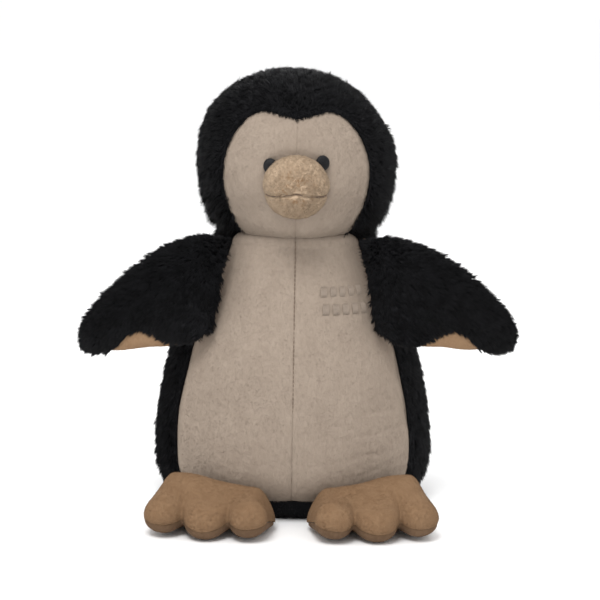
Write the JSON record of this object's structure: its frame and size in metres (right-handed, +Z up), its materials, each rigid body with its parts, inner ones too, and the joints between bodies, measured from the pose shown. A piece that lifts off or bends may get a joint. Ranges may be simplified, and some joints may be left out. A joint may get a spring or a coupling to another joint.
{
  "type": "plush penguin",
  "caption": "Standing stuffed penguin with a round head, ball-shaped beak, pear-shaped body, two flippers and three-toed feet.",
  "frame": {"origin": "centre of the flat base, on the surface that the toy stands on", "axes": "+Z up, -Y the way the face looks, +X the toy's own left"},
  "size_m": [0.292, 0.1971, 0.2969],
  "materials": {
    "black_pile": "long soft black pile",
    "black_base": "short black pile",
    "cream_pile": "short cream pile",
    "tan_pile": "short tan pile",
    "sole_pile": "short brown pile",
    "beak_pile": "crushed tan pile with brown flecks",
    "seam_thread": "twisted sewing thread",
    "tonal_embroidery": "satin stitch embroidery",
    "eye_embroidery": "matt satin stitch embroidery",
    "pouch_cloth": "plain woven cotton",
    "stuffing": "loose polyester fibre"
  },
  "bodies": {
    "torso": {"belly_left": "cream_pile", "belly_right": "cream_pile", "belly_seam_thread": "seam_thread", "chest_stitching": "tonal_embroidery", "back_left": "black_pile", "back_right": "black_pile", "base_panel": "black_base", "bean_bag": "pouch_cloth", "body_fill": "stuffing"},
    "neck": {"neck_fill": "stuffing"},
    "head": {"hood_left": "black_pile", "hood_right": "black_pile", "face_left": "cream_pile", "face_right": "cream_pile", "eye_left": "eye_embroidery", "eye_right": "eye_embroidery", "beak_upper": "beak_pile", "beak_lower": "beak_pile", "mouth_thread": "seam_thread", "beak_fill": "stuffing", "head_fill": "stuffing"},
    "wing_left": {"wing_left_top": "black_pile", "wing_left_under": "tan_pile", "wing_left_fill": "stuffing"},
    "wing_right": {"wing_right_top": "black_pile", "wing_right_under": "tan_pile", "wing_right_fill": "stuffing"},
    "foot_left": {"foot_left_upper": "tan_pile", "foot_left_sole": "sole_pile", "foot_left_fill": "stuffing"},
    "foot_right": {"foot_right_upper": "tan_pile", "foot_right_sole": "sole_pile", "foot_right_fill": "stuffing"}
  },
  "joints": [
    {"name": "head_turn", "type": "hinge", "parent": "torso", "child": "neck", "pos_m": [0, -0.004, 0.236], "axis": [0, 0, 1], "range_deg": [-20, 20], "stiffness_Nm_per_rad": 0.3},
    {"name": "head_nod", "type": "hinge", "parent": "neck", "child": "head", "pos_m": [0, -0.004, 0.236], "axis": [1, 0, 0], "range_deg": [-12, 12], "stiffness_Nm_per_rad": 0.3},
    {"name": "wing_left_swing", "type": "hinge", "parent": "torso", "child": "wing_left", "pos_m": [0.051, -0.0495, 0.1575], "axis": [0.1437, -0.3034, -0.942], "range_deg": [-8, 50], "stiffness_Nm_per_rad": 0.05},
    {"name": "wing_right_swing", "type": "hinge", "parent": "torso", "child": "wing_right", "pos_m": [-0.051, -0.0495, 0.1575], "axis": [0.1437, 0.3034, 0.942], "range_deg": [-8, 50], "stiffness_Nm_per_rad": 0.05},
    {"name": "foot_left_lift", "type": "hinge", "parent": "torso", "child": "foot_left", "pos_m": [0.051, -0.088, 0.0169], "axis": [-0.9877, -0.1564, 0], "range_deg": [0, 20], "stiffness_Nm_per_rad": 0.03},
    {"name": "foot_right_lift", "type": "hinge", "parent": "torso", "child": "foot_right", "pos_m": [-0.051, -0.088, 0.0169], "axis": [-0.9877, 0.1564, 0], "range_deg": [0, 20], "stiffness_Nm_per_rad": 0.03}
  ]
}
